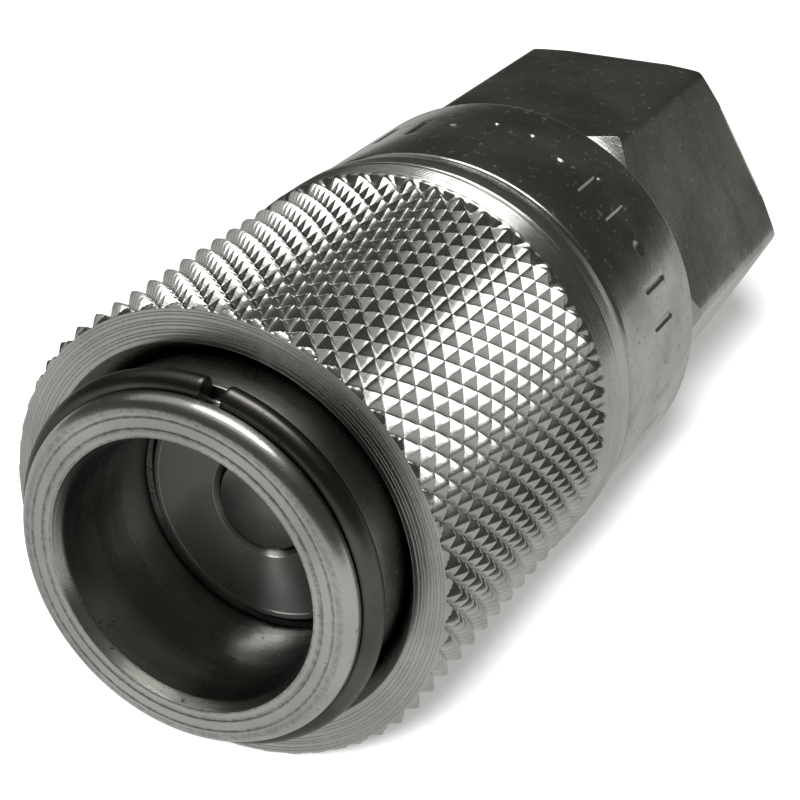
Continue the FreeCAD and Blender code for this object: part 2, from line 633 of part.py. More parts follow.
# ---------------------------------------------------------------------------
# Seals and their backup rings
# ---------------------------------------------------------------------------
ring_body("plug_seal", "plug_seal_y", "plug_seal_r", "seal_wire_r")
ring_body("joint_seal", "joint_seal_y", "joint_seal_r", "seal_wire_r")
ring_body("stem_seal", "stem_seal_y", "stem_seal_r", "stem_seal_wire_r")
for place in ("plug", "joint"):
    turned_body(place + "_seal_backup", [
        (place + "_backup_y", place + "_backup_r"),
        (place + "_backup_y", place + "_backup_out_r"),
        (place + "_backup_end_y", place + "_backup_out_r"),
        (place + "_backup_end_y", place + "_backup_r"),
    ])

# ---------------------------------------------------------------------------
# Snap ring: round wire bent round the nose, open near the top
# ---------------------------------------------------------------------------
snap_ring, bent = ring_body("snap_ring", "clip_y", "clip_r", "clip_wire_r")
bent.setExpression("Angle", "360 - Dims.clip_opening")
doc.recompute()
first_end = size("clip_opening_at") + size("clip_opening") / 2
snap_ring.Placement = Placement(Vector(0, 0, 0), Rotation(Vector(0, 1, 0), first_end))

# ---------------------------------------------------------------------------
# Locking balls, held out by the valve sleeve
# ---------------------------------------------------------------------------
count = int(size("ball_count"))
for number in range(count):
    ball = doc.addObject("Part::Sphere", "ball_%d" % (number + 1))
    ball.Label = "locking_ball_%d" % (number + 1)
    ball.setExpression("Radius", "Dims.ball_r")
    angle = 2 * pi * number / count
    ball.Placement = Placement(
        Vector(
            size("armed_r") * sin(angle), size("ball_depth"), size("armed_r") * cos(angle)
        ),
        Rotation(),
    )
    nodes.append(ball)

# ---------------------------------------------------------------------------
# Springs
# ---------------------------------------------------------------------------
spring(
    "sleeve_spring", "sleeve_spring_r", "sleeve_spring_wire_r", "sleeve_spring_turns",
    "thrust_end_y", "spigot_y",
)
spring(
    "valve_spring", "valve_spring_r", "valve_spring_wire_r", "valve_spring_turns",
    "web_y", "tail_y",
)

# ---------------------------------------------------------------------------
# Check everything, then write one file per sub-part
# ---------------------------------------------------------------------------
doc.recompute()
for thing in doc.Objects:
    if "Invalid" in thing.State or "Error" in thing.State:
        raise RuntimeError("%s did not build: %s" % (thing.Label, thing.State))
for node in nodes:
    shape = node.Shape
    if shape.isNull() or not shape.isValid() or len(shape.Solids) != 1:
        raise RuntimeError("%s is not one valid solid" % node.Label)
for node in nodes:
    node.Shape.exportStep("parts/%s.step" % node.Label)
    print("%-22s %9.2f mm3" % (node.Label, node.Shape.Volume))
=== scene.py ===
import json
from math import atan2, ceil, cos, pi, radians, sin, tan

import bmesh
import bpy
import numpy as np
from mathutils import Matrix, Vector, noise


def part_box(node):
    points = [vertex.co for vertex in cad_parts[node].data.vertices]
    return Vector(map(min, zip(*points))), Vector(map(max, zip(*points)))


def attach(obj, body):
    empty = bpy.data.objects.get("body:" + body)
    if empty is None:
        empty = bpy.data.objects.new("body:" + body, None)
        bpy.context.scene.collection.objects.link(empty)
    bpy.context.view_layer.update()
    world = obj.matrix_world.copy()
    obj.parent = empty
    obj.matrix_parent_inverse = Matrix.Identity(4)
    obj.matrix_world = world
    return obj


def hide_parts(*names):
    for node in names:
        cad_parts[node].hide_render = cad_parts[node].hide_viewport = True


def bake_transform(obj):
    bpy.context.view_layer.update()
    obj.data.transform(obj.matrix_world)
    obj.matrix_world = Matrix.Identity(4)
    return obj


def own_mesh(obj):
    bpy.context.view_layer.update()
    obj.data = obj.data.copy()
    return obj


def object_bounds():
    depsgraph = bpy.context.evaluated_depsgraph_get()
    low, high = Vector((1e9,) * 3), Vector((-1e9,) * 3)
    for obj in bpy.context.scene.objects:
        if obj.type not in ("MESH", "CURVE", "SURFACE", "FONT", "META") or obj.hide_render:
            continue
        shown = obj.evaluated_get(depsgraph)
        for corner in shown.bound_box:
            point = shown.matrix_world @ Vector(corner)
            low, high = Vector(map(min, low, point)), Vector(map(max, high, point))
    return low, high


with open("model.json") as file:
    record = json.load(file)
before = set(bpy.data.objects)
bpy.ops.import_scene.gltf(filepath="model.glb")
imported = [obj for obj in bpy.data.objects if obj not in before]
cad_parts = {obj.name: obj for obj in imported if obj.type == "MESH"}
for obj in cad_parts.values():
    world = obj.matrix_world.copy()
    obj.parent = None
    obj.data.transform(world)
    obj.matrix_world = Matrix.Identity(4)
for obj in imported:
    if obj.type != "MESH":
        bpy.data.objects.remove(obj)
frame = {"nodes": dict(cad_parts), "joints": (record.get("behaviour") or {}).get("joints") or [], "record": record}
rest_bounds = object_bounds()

# Visual model of a flat-face quick disconnect coupler. Lengths are worked in
# millimetres in the frame of the CAD parts: the axis is +Y, the mouth faces -Y
# and +Z is up. An angle about the axis starts at +Z and grows towards +X.
MM = 0.001
TURN = 2 * pi


# ---------------------------------------------------------------------------
# Sizes: read off the CAD nodes and the record, then what neither of them holds
# ---------------------------------------------------------------------------
def span(node):
    """Lowest and highest corner of a CAD node, in millimetres."""
    low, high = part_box(node)
    return low / MM, high / MM


def mount(name):
    """A mounting feature from the part's record."""
    return [m for m in frame["record"]["mounts"] if m["name"] == name][0]


def travel(joint_name):
    """How far a sliding joint goes from rest, in millimetres."""
    return [j for j in frame["joints"] if j["name"] == joint_name][0]["range_m"][1] / MM


sleeve_low, sleeve_high = span("locking_sleeve")
SLEEVE_FRONT, SLEEVE_BACK, SLEEVE_R = sleeve_low.y, sleeve_high.y, sleeve_high.x
body_low, body_high = span("front_body")
NOSE_Y, TAIL_Y, NOSE_R = body_low.y, body_high.y, body_high.x
adapter_low, adapter_high = span("rear_adapter")
SPIGOT_Y, REAR_Y, COLLAR_R = adapter_low.y, adapter_high.y, adapter_high.x
valve_low, valve_high = span("valve_sleeve")
FACE_Y, VALVE_BACK, FLANGE_R = valve_low.y, valve_high.y, valve_high.x
stem_high = span("valve_stem")[1]
HEAD_R, STEM_END = stem_high.x, stem_high.y
thrust_low, thrust_high = span("sleeve_thrust_ring")
clip_low, clip_high = span("snap_ring")
ball_low, ball_high = span("locking_ball_1")
washer_low = span("stem_washer")[0]
seal_low = span("plug_seal")[0]
joint_low = span("joint_seal")[0]
stem_seal_low, stem_seal_high = span("stem_seal")
BORE_R = mount("plug_bore")["dims"]["r_mm"]
PORT_R = mount("port_thread")["dims"]["r_mm"]
BALL_Y = (ball_low.y + ball_high.y) / 2
BALL_R = (ball_high.y - ball_low.y) / 2
BALL_ORBIT = (ball_low.z + ball_high.z) / 2
BALL_COUNT = 8
CLIP_WIRE = (clip_high.y - clip_low.y) / 2
CLIP_Y = (clip_low.y + clip_high.y) / 2
CLIP_R = clip_high.x - CLIP_WIRE
BALL_TRAVEL = travel("ball_1_slide")
COLLAR_GAP = 0.15  # between the drawn-back sleeve and the collar
COLLAR_LENGTH = 11.85
COLLAR_Y = SLEEVE_BACK + COLLAR_GAP
HEX_Y = COLLAR_Y + COLLAR_LENGTH
HEX_FLAT = mount("spanner_flat")["pos_m"][2] / MM
HEX_CORNER = HEX_FLAT / cos(pi / 6)
JOINT_THREAD_START, JOINT_THREAD_END = SPIGOT_Y + 2, SPIGOT_Y + 8
PORT_FLOOR = REAR_Y - 14.0
PORT_CHAMFER = 0.9
THROAT_R = 7.0
SHARP = 28  # degrees between two faces, above which their edge is drawn sharp


# ---------------------------------------------------------------------------
# Building blocks
# ---------------------------------------------------------------------------
def eased(corners, steps=5):
    """Outline points; a corner (station, radius, rounding) inside it becomes an arc."""
    points = []
    for i, corner in enumerate(corners):
        here = Vector(corner[:2])
        if len(corner) < 3:
            points.append(tuple(here))
            continue
        back = (Vector(corners[i - 1][:2]) - here).normalized()
        ahead = (Vector(corners[i + 1][:2]) - here).normalized()
        half = back.angle(ahead) / 2
        middle = here + (back + ahead).normalized() * (corner[2] / sin(half))
        first = here + back * (corner[2] / tan(half)) - middle
        last = here + ahead * (corner[2] / tan(half)) - middle
        sweep = atan2(first.x * last.y - first.y * last.x, first.dot(last))
        for k in range(steps + 1):
            turned = Matrix.Rotation(sweep * k / steps, 2) @ first
            points.append(tuple(middle + turned))
    return points


def scored(start, end, marks):
    """Points along a straight stretch, with a small groove at each (share, width, depth)."""
    a, b = Vector(start), Vector(end)
    along = (b - a).normalized()
    inward = Vector((along.y, -along.x))
    points = [tuple(a)]
    for share, width, depth in marks:
        centre = a.lerp(b, share)
        for step, drop in ((-1, 0), (-0.4, 1), (0.4, 1), (1, 0)):
            points.append(tuple(centre + along * (step * width / 2) + inward * (drop * depth)))
    points.append(tuple(b))
    return points


def revolve(name, rows, columns, finish, creases=False, sharp=SHARP):
    """A closed skin of rings about the axis.

    A row is one (station, radius) or an array of them, one for each column. A
    row of radius 0 becomes a single point on the axis, where the skin ends. With
    creases, each square is split along its lower diagonal, so that grooves stay keen.
    """
    angles = np.arange(columns) * TURN / columns
    vertices, faces, rings = [], [], []
    for row in rows:
        table = np.broadcast_to(np.array(row, float).reshape(-1, 2), (columns, 2))
        if table[:, 1].max() < 1e-9:
            rings.append([len(vertices)])
            vertices.append((0.0, table[0, 0], 0.0))
            continue
        rings.append(list(range(len(vertices), len(vertices) + columns)))
        y, r = table[:, 0], table[:, 1]
        vertices.extend(zip(r * np.sin(angles), y, r * np.cos(angles)))
    points = np.array(vertices)
    height = np.hypot(points[:, 0], points[:, 2])
    closed = len(rings[0]) > 1 and len(rings[-1]) > 1
    for j in range(len(rings) if closed else len(rings) - 1):
        a, b = rings[j], rings[(j + 1) % len(rings)]
        for i in range(columns):
            k = (i + 1) % columns
            if len(a) == 1:
                faces.append((a[0], b[k], b[i]))
            elif len(b) == 1:
                faces.append((a[i], a[k], b[0]))
            elif creases and height[a[i]] + height[b[k]] > height[a[k]] + height[b[i]]:
                faces.append((a[i], a[k], b[i]))
                faces.append((a[k], b[k], b[i]))
            elif creases:
                faces.append((a[i], a[k], b[k]))
                faces.append((a[i], b[k], b[i]))
            else:
                faces.append((a[i], a[k], b[k], b[i]))
    return solid(name, points, faces, finish, sharp)


def solid(name, points, faces, finish, sharp=SHARP):
    """A mesh object from points in millimetres, facing outwards, with a material."""
    mesh = bpy.data.meshes.new(name)
    mesh.from_pydata((np.array(points) * MM).tolist(), [], faces)
    skin = bmesh.new()
    skin.from_mesh(mesh)
    bmesh.ops.recalc_face_normals(skin, faces=skin.faces)
    if skin.calc_volume(signed=True) < 0:
        bmesh.ops.reverse_faces(skin, faces=skin.faces)
    skin.to_mesh(mesh)
    skin.free()
    mesh.shade_smooth()
    mesh.set_sharp_from_angle(angle=radians(sharp))
    mesh.materials.append(finish)
    piece = bpy.data.objects.new(name, mesh)
    bpy.context.scene.collection.objects.link(piece)
    return piece


def place(piece, body, slot_name, *nodes):
    """Let the piece move with a body and stand for CAD nodes. slot_name is not used."""
    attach(piece, body)
    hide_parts(*nodes)
    return piece


def cut(piece, cutter):
    """Take the cutter's volume out of the piece, for good."""
    tool = piece.modifiers.new("cut", "BOOLEAN")
    tool.object = cutter
    tool.operation = "DIFFERENCE"
    tool.solver = "EXACT"
    graph = bpy.context.evaluated_depsgraph_get()
    made = bpy.data.meshes.new_from_object(piece.evaluated_get(graph))
    piece.modifiers.clear()
    piece.data = made
    made.shade_smooth()
    made.set_sharp_from_angle(angle=radians(SHARP))
    bpy.data.objects.remove(cutter)


# ---------------------------------------------------------------------------
# Materials: every finish is a node tree, mapped in the part's own coordinates
# ---------------------------------------------------------------------------
class Finish:
    """A small writer for node trees."""

    def __init__(self, name):
        self.material = bpy.data.materials.new(name)
        self.material.use_nodes = True
        self.tree = self.material.node_tree
        self.tree.nodes.clear()
        self.coords = self.add("ShaderNodeTexCoord").outputs["Object"]
        self.shader = self.add("ShaderNodeBsdfPrincipled")
        output = self.add("ShaderNodeOutputMaterial")
        self.tree.links.new(self.shader.outputs[0], output.inputs["Surface"])

    def add(self, kind, inputs=None, **settings):
        """A new node; an input is a plain value or another node's output."""
        made = self.tree.nodes.new(kind)
        for key, value in settings.items():
            setattr(made, key, value)
        for key, value in (inputs or {}).items():
            self.feed(made.inputs[key], value)
        return made

    def feed(self, socket, value):
        if isinstance(value, bpy.types.NodeSocket):
            self.tree.links.new(value, socket)
        else:
            socket.default_value = value

    def math(self, operation, a, b=0.0, clamp=False):
        made = self.add("ShaderNodeMath", {0: a, 1: b}, operation=operation)
        made.use_clamp = clamp
        return made.outputs[0]

    def noise(self, vector, scale, detail=3.0, roughness=0.55):
        made = self.add(
            "ShaderNodeTexNoise",
            {"Vector": vector, "Scale": scale, "Detail": detail, "Roughness": roughness},
        )
        return made.outputs["Fac"]

    def ramp(self, value, low, high, to_low=0.0, to_high=1.0):
        """A smooth step from to_low at low to to_high at high."""
        made = self.add(
            "ShaderNodeMapRange",
            {0: value, 1: low, 2: high, 3: to_low, 4: to_high},
            interpolation_type="SMOOTHSTEP",
        )
        return made.outputs[0]

    def blend(self, share, a, b):
        made = self.add("ShaderNodeMix", data_type="RGBA")
        self.feed(made.inputs[0], share)
        self.feed(made.inputs[6], a)
        self.feed(made.inputs[7], b)
        return made.outputs[2]

    def turned_coords(self):
        """(station, radius, a little of the angle): nearly the same all round a turned surface."""
        split = self.add("ShaderNodeSeparateXYZ", {0: self.coords})
        x, y, z = split.outputs
        squares = self.math("ADD", self.math("POWER", x, 2.0), self.math("POWER", z, 2.0))
        radius = self.math("SQRT", squares)
        round_it = self.math("MULTIPLY", self.math("ARCTAN2", x, z), 0.3 * MM)
        joined = self.add("ShaderNodeCombineXYZ", {0: y, 1: radius, 2: round_it})
        return joined.outputs[0]


def shade(tint, level):
    """A grey of the given level with a tint, as linear RGBA."""
    return (tint[0] * level, tint[1] * level, tint[2] * level, 1.0)


ZINC = (0.985, 1.0, 0.955)
WEAR_WIDTH = 0.08
# painted shade in crevices: how far the ambient occlusion looks, and how dark it paints
CREVICE_REACH = 0.6
CREVICE_SHADE_STRENGTH = 0.75
RELIEF = 0.012
MARK_LEVEL = 0.06
DUST_LEVEL = 0.30


def steel(
    name, bright, dull, rough, lines=0.0, line_scale=9000, pits=0.0, stretch=0.0, tint=ZINC,
    haze=0.10, worn=0.9, dust=0.0, marks=(), band=None, hollow=None,
):
    """Plated steel: turning lines, mottled roughness, specks, worn edges, painted shade in crevices.

    bright and dull are the two levels of its mottling, rough its mean roughness
    and haze how far that varies. lines and pits are the heights of the turning
    lines and the pitting, and stretch draws the highlights out as fine lines do.
    marks are dark rings (radius, width, strength). Behind the station band the
    turning lines stand higher, and inside the radius hollow painted shade darkens the metal.
    """
    f = Finish(name)
    turned = f.turned_coords()
    station, radius, _ = f.add("ShaderNodeSeparateXYZ", {0: turned}).outputs
    cloud = f.noise(f.coords, 160, 4)
    fine = f.noise(f.coords, 2600, 2, 0.7)
    rings = f.noise(turned, line_scale, 2, 0.8)
    wide_rings = f.noise(turned, line_scale / 7, 3, 0.7)
    smudge = f.noise(turned, 420, 3, 0.6)

    # worn edges are brighter and smoother than the flats beside them
    bevel = f.add("ShaderNodeBevel", {"Radius": WEAR_WIDTH * MM}, samples=4)
    plain = f.add("ShaderNodeNewGeometry").outputs["Normal"]
    facing = f.add("ShaderNodeVectorMath", {0: bevel.outputs[0], 1: plain}, operation="DOT_PRODUCT")
    wear = f.ramp(facing.outputs["Value"], 0.995, 0.93)
    wear = f.math("MULTIPLY", wear, f.ramp(fine, 0.35, 0.6, 0.4, 1.0), clamp=True)

    # mottled plating, darker along some turning lines and in the specks
    mottled = f.blend(f.ramp(cloud, 0.35, 0.68), shade(tint, dull), shade(tint, bright))
    mottled = f.blend(f.math("MULTIPLY", wide_rings, 0.25), mottled, shade(tint, dull * 0.8))
    specks = f.ramp(fine, 0.66, 0.74)
    mottled = f.blend(f.math("MULTIPLY", specks, pits), mottled, shade(tint, dull * 0.35))
    worn_tint = shade((1.0, 1.0, 0.99), worn)
    polished = f.blend(f.math("MULTIPLY", wear, 0.55), mottled, worn_tint)

    # painted shade: ambient occlusion darkens the crevices and the gaps between parts
    open_sky = f.add("ShaderNodeAmbientOcclusion", {"Distance": CREVICE_REACH * MM}, samples=4)
    crevice_shade = f.math("MULTIPLY", f.ramp(open_sky.outputs["AO"], 0.75, 0.3), CREVICE_SHADE_STRENGTH)
    shaded_and_marked = f.blend(crevice_shade, polished, shade(tint, 0.02))

    # dark broken rings left by the cutting tool
    chatter = f.ramp(f.noise(f.coords, 2100, 4, 0.75), 0.40, 0.62, 0.25, 1.0)
    for middle, wide, strength in marks:
        away = f.math("ABSOLUTE", f.math("SUBTRACT", radius, middle * MM))
        near = f.math("MULTIPLY", f.ramp(away, wide * MM, wide * 0.3 * MM), strength)
        shaded_and_marked = f.blend(f.math("MULTIPLY", near, chatter), shaded_and_marked, shade(tint, MARK_LEVEL))
    # painted shade: the wall inside the bore is darkened in patches, for the shade that falls inside it
    if hollow:
        inside = f.ramp(radius, (hollow + 0.12) * MM, (hollow + 0.03) * MM)
        bore_shade = f.ramp(f.noise(turned, 900, 4, 0.7), 0.35, 0.65, 0.15, 0.5)
        shaded_and_marked = f.blend(f.math("MULTIPLY", inside, bore_shade), shaded_and_marked, shade(tint, 0.15))
    # pale specks of dust that stay light where the bare metal mirrors the dark room
    lying = f.math("MULTIPLY", f.ramp(f.noise(f.coords, 1500, 3, 0.75), 0.60, 0.72), dust)
    f.feed(f.shader.inputs["Base Color"], f.blend(lying, shaded_and_marked, shade(tint, DUST_LEVEL)))
    f.feed(f.shader.inputs["Metallic"], f.math("SUBTRACT", 1.0, lying))

    # specks are duller than the metal round them, worn edges smoother
    matte = f.math("ADD", rough - haze / 2, f.math("MULTIPLY", smudge, haze))
    matte = f.math("ADD", matte, f.math("MULTIPLY", specks, 0.12 * min(pits * 2, 1)))
    matte = f.math("SUBTRACT", matte, f.math("MULTIPLY", wear, rough * 0.35), clamp=True)
    f.feed(f.shader.inputs["Roughness"], matte)
    if stretch:
        f.feed(f.shader.inputs["Anisotropic"], stretch)
        f.feed(f.shader.inputs["Anisotropic Rotation"], 0.25)
        tangent = f.add("ShaderNodeTangent", direction_type="RADIAL", axis="Y")
        f.feed(f.shader.inputs["Tangent"], tangent.outputs[0])

    # turning lines, grain and pitting stand in relief
    if band:
        lines = f.ramp(station, (band - 0.1) * MM, (band + 0.1) * MM, lines, lines * 6)
    relief = f.math("MULTIPLY", rings, lines)
    relief = f.math("ADD", relief, f.math("MULTIPLY", f.math("MULTIPLY", wide_rings, lines), 1.4))
    relief = f.math("ADD", relief, f.math("MULTIPLY", fine, 0.35))
    relief = f.math("ADD", relief, f.math("MULTIPLY", f.noise(f.coords, 900, 3, 0.6), pits * 2.5))
    relief = f.math("SUBTRACT", relief, f.math("MULTIPLY", specks, pits * 1.5))
    bump = f.add("ShaderNodeBump", {"Strength": 0.5, "Distance": RELIEF * MM, "Height": relief})
    f.feed(bump.inputs["Normal"], bevel.outputs[0])
    f.feed(f.shader.inputs["Normal"], bump.outputs[0])
    return f.material


def rubber(name, level, tint, rough):
    """Moulded seal: dusty, softly mottled, with a fine grain."""
    f = Finish(name)
    dust = f.ramp(f.noise(f.coords, 900, 4), 0.45, 0.75)
    f.feed(f.shader.inputs["Base Color"], f.blend(dust, shade(tint, level), shade(tint, level * 2.2)))
    f.feed(f.shader.inputs["Roughness"], f.math("ADD", rough, f.math("MULTIPLY", dust, 0.2)))
    grain = f.noise(f.coords, 7000, 2)
    bump = f.add("ShaderNodeBump", {"Strength": 0.3, "Distance": 0.01 * MM, "Height": grain})
    f.feed(f.shader.inputs["Normal"], bump.outputs[0])
    return f.material


KNURL_END = SLEEVE_FRONT + 1.53 * SLEEVE_R
KNURLED = steel(
    "knurled_steel", 0.74, 0.58, 0.22, lines=0.5, pits=0.35, haze=0.12, band=KNURL_END,
)
NOSE_MARKS = (
    (BORE_R + 0.42, 0.08, 0.5),
    (BORE_R + 0.86, 0.22, 0.5),
    (NOSE_R - 1.08, 0.16, 0.5),
    (NOSE_R - 0.70, 0.25, 0.35),
)
NOSE = steel(
    "nose_steel", 0.80, 0.60, 0.26, lines=1.6, line_scale=6000, pits=0.8, stretch=0.4,
    haze=0.2, dust=0.12, marks=NOSE_MARKS, hollow=BORE_R,
)
COLLAR = steel("collar_steel", 0.76, 0.46, 0.18, lines=0.5, pits=1.0, haze=0.14, dust=0.4)
TURNED = steel(
    "turned_steel", 0.42, 0.32, 0.30, lines=0.5, line_scale=11000, pits=0.2, stretch=0.95,
)
STEM = steel("stem_steel", 0.42, 0.28, 0.28, lines=0.3, pits=0.9, stretch=0.6, dust=0.15)
WIRE = steel("spring_wire", 0.60, 0.46, 0.25, lines=0.2, pits=0.3)
CLIP = steel(
    "clip_wire", 0.20, 0.11, 0.32, lines=0.3, pits=0.7, haze=0.2, tint=(1.0, 0.96, 0.89), worn=0.6,
)
BALL = steel("ball_steel", 0.80, 0.72, 0.09, lines=0.0, pits=0.05, haze=0.04)
PLAIN = steel("plain_steel", 0.62, 0.48, 0.34, lines=0.8, pits=0.4)
SEAL = rubber("seal_rubber", 0.012, (1.0, 1.0, 1.05), 0.45)
BACKUP = rubber("backup_ptfe", 0.62, (1.0, 0.98, 0.93), 0.35)


# ---------------------------------------------------------------------------
# Locking sleeve: diamond knurl cut by the front chamfer, plain rear band
# ---------------------------------------------------------------------------
KNURL_TEETH = 52
KNURL_PITCH = 0.1243 * SLEEVE_R
KNURL_DEPTH = 0.62
CUTS_PER_TOOTH = 12
BAND_R = SLEEVE_R - 0.05
FACE_EDGE_R = SLEEVE_R - 0.5
LAND_R = NOSE_R + 0.1
POCKET_R = BALL_ORBIT + BALL_R + 0.08
CHAMBER_R = SLEEVE_R - 1.9
SHOULDER_Y = thrust_low.y - 0.02


def knurl_height(angle, station):
    """0 at the bottom of the grooves, 1 on the tips of the diamonds."""
    across = angle * KNURL_TEETH / TURN
    along = (station - SLEEVE_FRONT) / KNURL_PITCH
    a, b = across + along, across - along
    da, db = np.abs(a - np.round(a)), np.abs(b - np.round(b))
    keen, floor_width, flank, flattening = 26.0, 0.01, 0.47, 0.10
    nearest = -np.log(np.exp(-keen * da) + np.exp(-keen * db)) / keen
    height = np.clip((nearest + floor_width) / flank, 0, 1.2)
    return height - flattening * np.clip(height, 0, 1) ** 6


def sleeve_rows(columns):
    """The knurl, shallower where it runs out, and the uneven front chamfer that cuts it."""
    bearings = np.arange(columns) * TURN / columns
    step = KNURL_PITCH / CUTS_PER_TOOTH
    runout_length = 0.45
    chamfer_slope, chamfer_length = 0.52, 2.2
    burr_height, burr_grain = 0.05, 1.3
    rows = []
    count = ceil((KNURL_END - SLEEVE_FRONT) / step)
    for k in range(1, count):
        y = SLEEVE_FRONT + k * step
        burr = np.zeros(columns)
        if y < SLEEVE_FRONT + chamfer_length:
            for i, a in enumerate(bearings):
                x, z = SLEEVE_R * sin(a), SLEEVE_R * cos(a)
                burr[i] = noise.noise(Vector((x * burr_grain, y * burr_grain, z * burr_grain)))
        runout = np.clip((KNURL_END - y) / runout_length, 0, 1)
        ridge = SLEEVE_R - KNURL_DEPTH * (1 - knurl_height(bearings, y)) * runout
        cone = FACE_EDGE_R + (y - SLEEVE_FRONT) * chamfer_slope + burr_height * burr
        radius = np.minimum(np.minimum(ridge, cone), SLEEVE_R)
        rows.append(np.column_stack([np.full(columns, y), radius]))
    return rows


def band_rows():
    """Fine turning grooves round the plain band behind the knurl, shallower at the rear."""
    start, end, step = KNURL_END + 0.08, SLEEVE_BACK - 1.25, 0.04
    feed, coarse_length = 0.24, 2.3
    rows = []
    for y in np.arange(start, end, step):
        wander = noise.noise(Vector((0.0, y * 3.1, 0.0)))
        depth = 0.024 + 0.014 * wander
        if y > KNURL_END + coarse_length:
            depth *= 0.3
        rows.append((y, BAND_R + depth * sin(TURN * y / feed + 3 * wander)))
    return rows


def build_sleeve():
    """Front face, knurl, band and bore; the ramp inside pushes the balls in as it slides."""
    columns = KNURL_TEETH * CUTS_PER_TOOTH
    mouth_r = LAND_R + 1.2
    shares = (0.12, 0.24, 0.33, 0.47, 0.58, 0.66, 0.8, 0.9)
    marks = [(share, 0.05, 0.02) for share in shares]
    face = scored((SLEEVE_FRONT, mouth_r + 0.1), (SLEEVE_FRONT, FACE_EDGE_R - 0.05), marks)
    ramp_slope = BALL_TRAVEL / travel("sleeve_slide")
    ramp_end = SHOULDER_Y - 4
    ramp_top = ramp_end - (POCKET_R - LAND_R) / ramp_slope
    pocket_front = BALL_Y - BALL_R - 0.6
    plain = band_rows() + eased([
        (SLEEVE_BACK - 1.2, BAND_R),
        (SLEEVE_BACK - 1.0, BAND_R, 0.3),
        (SLEEVE_BACK, SLEEVE_R - 0.25, 0.12),
        (SLEEVE_BACK, CHAMBER_R, 0.08),
        (SHOULDER_Y, CHAMBER_R),
        (SHOULDER_Y, LAND_R, 0.1),
        (ramp_end, LAND_R),
        (ramp_top, POCKET_R),
        (pocket_front + POCKET_R - LAND_R, POCKET_R),
        (pocket_front, LAND_R),
        (SLEEVE_FRONT + 2.1, LAND_R, 0.3),
        (SLEEVE_FRONT, mouth_r, 0.06),
        (SLEEVE_FRONT, mouth_r + 0.1),
    ])
    rows = face + sleeve_rows(columns) + plain[:-1]
    piece = revolve("sleeve_knurled", rows, columns, KNURLED, creases=True, sharp=24)
    place(piece, "sleeve", "knurled_steel", "locking_sleeve")


build_sleeve()


# ---------------------------------------------------------------------------
# Front body: rounded nose with turning marks, bore, ball holes, tail
# ---------------------------------------------------------------------------
def build_front_body():
    """Nose face, clip groove, threaded tail, and the bore back to the mouth."""
    relief = FACE_Y - 0.1
    groove = CLIP_WIRE + 0.05
    seal_wide = 2.9
    seal_front = seal_low.y - 0.1
    step_y = VALVE_BACK - 2.45
    chamber_r = FLANGE_R + 0.05
    seal_deep = 1.55
    tail_r = NOSE_R - 0.7
    mouth_deep, mouth_wide = 0.75, 0.36
    face_marks = [(0.35, 0.09, 0.04), (0.88, 0.06, 0.03)]
    face = scored((NOSE_Y, BORE_R + 0.46), (NOSE_Y, NOSE_R - 0.92), face_marks)
    outline = eased([
        face.pop(),
        (NOSE_Y, NOSE_R, 0.9),
        (CLIP_Y - groove, NOSE_R, 0.08),
        (CLIP_Y - groove, CLIP_R - groove, 0.3),
        (CLIP_Y + groove, CLIP_R - groove, 0.3),
        (CLIP_Y + groove, NOSE_R, 0.08),
        (JOINT_THREAD_START, NOSE_R),
    ], 8)
    outline += ridges(JOINT_THREAD_START, JOINT_THREAD_END, NOSE_R - 0.25, -0.35, 1.0)
    outline += eased([
        (JOINT_THREAD_END, tail_r),
        (TAIL_Y, tail_r, 0.25),
        (TAIL_Y, chamber_r, 0.1),
        (step_y, chamber_r),
        (step_y, BORE_R, 0.1),
        (seal_front + seal_wide, BORE_R),
        (seal_front + seal_wide, BORE_R + seal_deep),
        (seal_front, BORE_R + seal_deep),
        (seal_front, BORE_R),
        (relief + 0.6, BORE_R),
        (relief + 0.6, BORE_R + 0.2),
        (relief, BORE_R + 0.2),
        (relief, BORE_R),
        (NOSE_Y + mouth_deep, BORE_R, 0.4),
        (NOSE_Y, BORE_R + mouth_wide, 0.06),
        face[0],
    ])[:-1]
    piece = revolve("front_body_turned", face + outline, 288, NOSE)
    cut(piece, ball_hole_cutter())
    place(piece, "coupler_body", "zinc_steel", "front_body")


def ridges(start, end, radius, depth, pitch):
    """The side view of a thread: evenly spaced V grooves along a cylinder."""
    points = []
    for k in range(int((end - start) / pitch)):
        y = start + k * pitch
        points += [
            (y + pitch * 0.1, radius),
            (y + pitch / 2, radius + depth),
            (y + pitch * 0.9, radius),
        ]
    return points


def ball_hole_cutter():
    """The ball holes as round-ended pins round the axis, in one mesh."""
    play, sides, rings = 0.03, 32, 8
    radius = BALL_R + play
    seat = BALL_ORBIT - BALL_TRAVEL
    slopes = [pi / 2 * k / rings for k in range(rings + 1)]
    profile = [(radius * sin(a), seat - radius * cos(a)) for a in slopes]
    profile += [(radius, NOSE_R + 1), (0.0, NOSE_R + 1)]
    points, faces = [], []
    for number in range(BALL_COUNT):
        spin = Matrix.Rotation(TURN * number / BALL_COUNT, 3, "Y")
        first = len(points)
        for wide, high in profile:
            for side in range(sides):
                turn = TURN * side / sides
                points.append(spin @ Vector((wide * cos(turn), BALL_Y + wide * sin(turn), high)))
        for j in range(len(profile) - 1):
            for side in range(sides):
                a, b = first + j * sides + side, first + j * sides + (side + 1) % sides
                faces.append((a, b, b + sides, a + sides))
    cutter = solid("cutter", points, faces, NOSE)
    skin = bmesh.new()
    skin.from_mesh(cutter.data)
    bmesh.ops.remove_doubles(skin, verts=skin.verts, dist=1e-7)
    bmesh.ops.recalc_face_normals(skin, faces=skin.faces)
    skin.to_mesh(cutter.data)
    skin.free()
    return cutter


build_front_body()


# ---------------------------------------------------------------------------
# Rear adapter: spigot, marked collar, hex with cut-back corners, port thread
# ---------------------------------------------------------------------------
COLUMNS = 576
BEARINGS = np.arange(COLUMNS) * TURN / COLUMNS
